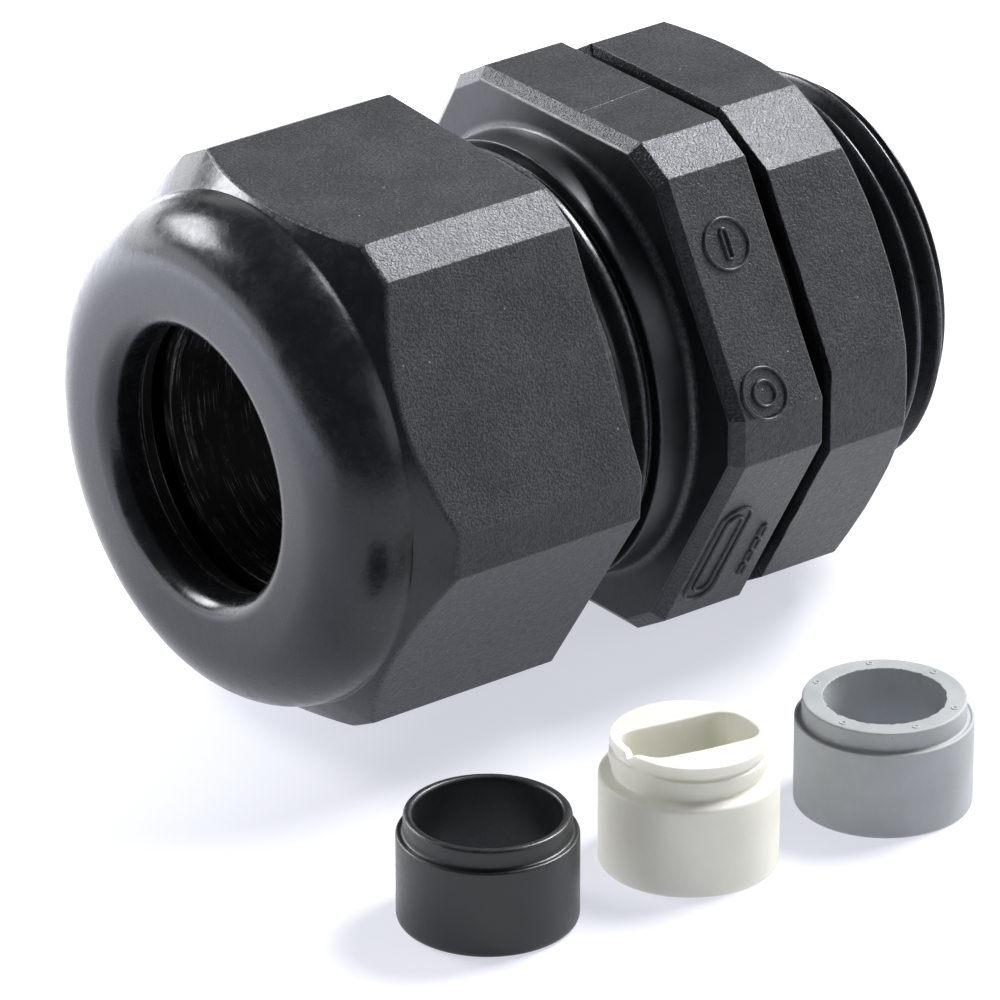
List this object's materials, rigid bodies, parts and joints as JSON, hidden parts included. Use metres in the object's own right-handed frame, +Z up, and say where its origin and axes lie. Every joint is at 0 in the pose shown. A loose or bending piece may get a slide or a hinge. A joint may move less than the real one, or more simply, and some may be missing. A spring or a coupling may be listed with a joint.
{
  "type": "cable gland",
  "caption": "Black polyamide cable gland with a domed clamping nut, hexagonal collar, tapered entry thread and lock nut, with three loose sealing inserts.",
  "frame": {"origin": "on the collar's lowest flat, under the middle of the collar", "axes": "+X along the gland's axis towards the entry thread, +Z up, the loose inserts on the -Y side"},
  "size_m": [0.057, 0.0584, 0.0338],
  "materials": {
    "body_polyamide": "black glass-filled polyamide with a fine spark-eroded satin grain",
    "nut_polyamide": "black polyamide, grained on the flats and smoother on the dome",
    "claw_polyamide": "black polyamide, smooth satin",
    "slip_ring_acetal": "black acetal, smooth",
    "seal_rubber": "black rubber, satin, with fine rings left by its core pin",
    "gasket_rubber": "black rubber, matt",
    "black_insert_rubber": "black rubber, satin, with polished rounded edges",
    "white_insert_silicone": "white silicone, satin, slightly translucent",
    "grey_insert_rubber": "light grey rubber, matt"
  },
  "bodies": {
    "gland_body": {"gland_body": "body_polyamide", "fitted_seal": "seal_rubber"},
    "slip_ring": {"slip_ring": "slip_ring_acetal"},
    "dome_nut": {"dome_nut": "nut_polyamide"},
    "claw_finger_01": {"claw_finger_01": "claw_polyamide"},
    "claw_finger_02": {"claw_finger_02": "claw_polyamide"},
    "claw_finger_03": {"claw_finger_03": "claw_polyamide"},
    "claw_finger_04": {"claw_finger_04": "claw_polyamide"},
    "claw_finger_05": {"claw_finger_05": "claw_polyamide"},
    "claw_finger_06": {"claw_finger_06": "claw_polyamide"},
    "claw_finger_07": {"claw_finger_07": "claw_polyamide"},
    "claw_finger_08": {"claw_finger_08": "claw_polyamide"},
    "claw_finger_09": {"claw_finger_09": "claw_polyamide"},
    "claw_finger_10": {"claw_finger_10": "claw_polyamide"},
    "claw_finger_11": {"claw_finger_11": "claw_polyamide"},
    "claw_finger_12": {"claw_finger_12": "claw_polyamide"},
    "entry_gasket": {"entry_gasket": "gasket_rubber"},
    "lock_nut": {"lock_nut": "body_polyamide"},
    "insert_black": {"insert_black": "black_insert_rubber"},
    "insert_white": {"insert_white": "white_insert_silicone"},
    "insert_grey": {"insert_grey": "grey_insert_rubber"}
  },
  "joints": [
    {"name": "dome_nut_travel", "type": "slide", "parent": "gland_body", "child": "slip_ring", "axis": [1, 0, 0], "range_m": [-0.00441, 0.00441]},
    {"name": "dome_nut_turn", "type": "hinge", "parent": "slip_ring", "child": "dome_nut", "pos_m": [-0.02, 0, 0.0165], "axis": [1, 0, 0], "range_deg": [-792, 792], "deforming": ["fitted_seal"]},
    {"name": "claw_finger_01_hinge", "type": "hinge", "parent": "gland_body", "child": "claw_finger_01", "pos_m": [-0.01515, 0, 0.0286], "axis": [0, -1, 0], "range_deg": [-5.2, 5.2]},
    {"name": "claw_finger_02_hinge", "type": "hinge", "parent": "gland_body", "child": "claw_finger_02", "pos_m": [-0.01515, -0.00605, 0.02698], "axis": [0, -0.866, -0.5], "range_deg": [-5.2, 5.2]},
    {"name": "claw_finger_03_hinge", "type": "hinge", "parent": "gland_body", "child": "claw_finger_03", "pos_m": [-0.01515, -0.01048, 0.02255], "axis": [0, -0.5, -0.866], "range_deg": [-5.2, 5.2]},
    {"name": "claw_finger_04_hinge", "type": "hinge", "parent": "gland_body", "child": "claw_finger_04", "pos_m": [-0.01515, -0.0121, 0.0165], "axis": [0, 0, -1], "range_deg": [-5.2, 5.2]},
    {"name": "claw_finger_05_hinge", "type": "hinge", "parent": "gland_body", "child": "claw_finger_05", "pos_m": [-0.01515, -0.01048, 0.01045], "axis": [0, 0.5, -0.866], "range_deg": [-5.2, 5.2]},
    {"name": "claw_finger_06_hinge", "type": "hinge", "parent": "gland_body", "child": "claw_finger_06", "pos_m": [-0.01515, -0.00605, 0.00602], "axis": [0, 0.866, -0.5], "range_deg": [-5.2, 5.2]},
    {"name": "claw_finger_07_hinge", "type": "hinge", "parent": "gland_body", "child": "claw_finger_07", "pos_m": [-0.01515, 0, 0.0044], "axis": [0, 1, 0], "range_deg": [-5.2, 5.2]},
    {"name": "claw_finger_08_hinge", "type": "hinge", "parent": "gland_body", "child": "claw_finger_08", "pos_m": [-0.01515, 0.00605, 0.00602], "axis": [0, 0.866, 0.5], "range_deg": [-5.2, 5.2]},
    {"name": "claw_finger_09_hinge", "type": "hinge", "parent": "gland_body", "child": "claw_finger_09", "pos_m": [-0.01515, 0.01048, 0.01045], "axis": [0, 0.5, 0.866], "range_deg": [-5.2, 5.2]},
    {"name": "claw_finger_10_hinge", "type": "hinge", "parent": "gland_body", "child": "claw_finger_10", "pos_m": [-0.01515, 0.0121, 0.0165], "axis": [0, 0, 1], "range_deg": [-5.2, 5.2]},
    {"name": "claw_finger_11_hinge", "type": "hinge", "parent": "gland_body", "child": "claw_finger_11", "pos_m": [-0.01515, 0.01048, 0.02255], "axis": [0, -0.5, 0.866], "range_deg": [-5.2, 5.2]},
    {"name": "claw_finger_12_hinge", "type": "hinge", "parent": "gland_body", "child": "claw_finger_12", "pos_m": [-0.01515, 0.00605, 0.02698], "axis": [0, -0.866, 0.5], "range_deg": [-5.2, 5.2]},
    {"name": "lock_nut_travel", "type": "slide", "parent": "gland_body", "child": "entry_gasket", "axis": [1, 0, 0], "range_m": [-0.00026, 0.0141]},
    {"name": "lock_nut_turn", "type": "hinge", "parent": "entry_gasket", "child": "lock_nut", "pos_m": [0.008, 0, 0.0165], "axis": [1, 0, 0], "range_deg": [-50, 2790]},
    {"name": "insert_black_lift", "type": "slide", "parent": "gland_body", "child": "insert_black", "axis": [0, 0, 1], "range_m": [0, 0.03]},
    {"name": "insert_white_lift", "type": "slide", "parent": "gland_body", "child": "insert_white", "axis": [0, 0, 1], "range_m": [0, 0.03]},
    {"name": "insert_grey_lift", "type": "slide", "parent": "gland_body", "child": "insert_grey", "axis": [0, 0, 1], "range_m": [0, 0.03]}
  ],
  "couplings": [
    {"joint": "dome_nut_travel", "follows": "dome_nut_turn", "m_per_rad": 0.00031831},
    {"joint": "claw_finger_01_hinge", "follows": "dome_nut_turn", "ratio": 0.0065656},
    {"joint": "claw_finger_02_hinge", "follows": "dome_nut_turn", "ratio": 0.0065656},
    {"joint": "claw_finger_03_hinge", "follows": "dome_nut_turn", "ratio": 0.0065656},
    {"joint": "claw_finger_04_hinge", "follows": "dome_nut_turn", "ratio": 0.0065656},
    {"joint": "claw_finger_05_hinge", "follows": "dome_nut_turn", "ratio": 0.0065656},
    {"joint": "claw_finger_06_hinge", "follows": "dome_nut_turn", "ratio": 0.0065656},
    {"joint": "claw_finger_07_hinge", "follows": "dome_nut_turn", "ratio": 0.0065656},
    {"joint": "claw_finger_08_hinge", "follows": "dome_nut_turn", "ratio": 0.0065656},
    {"joint": "claw_finger_09_hinge", "follows": "dome_nut_turn", "ratio": 0.0065656},
    {"joint": "claw_finger_10_hinge", "follows": "dome_nut_turn", "ratio": 0.0065656},
    {"joint": "claw_finger_11_hinge", "follows": "dome_nut_turn", "ratio": 0.0065656},
    {"joint": "claw_finger_12_hinge", "follows": "dome_nut_turn", "ratio": 0.0065656},
    {"joint": "lock_nut_travel", "follows": "lock_nut_turn", "m_per_rad": 0.00028875}
  ]
}
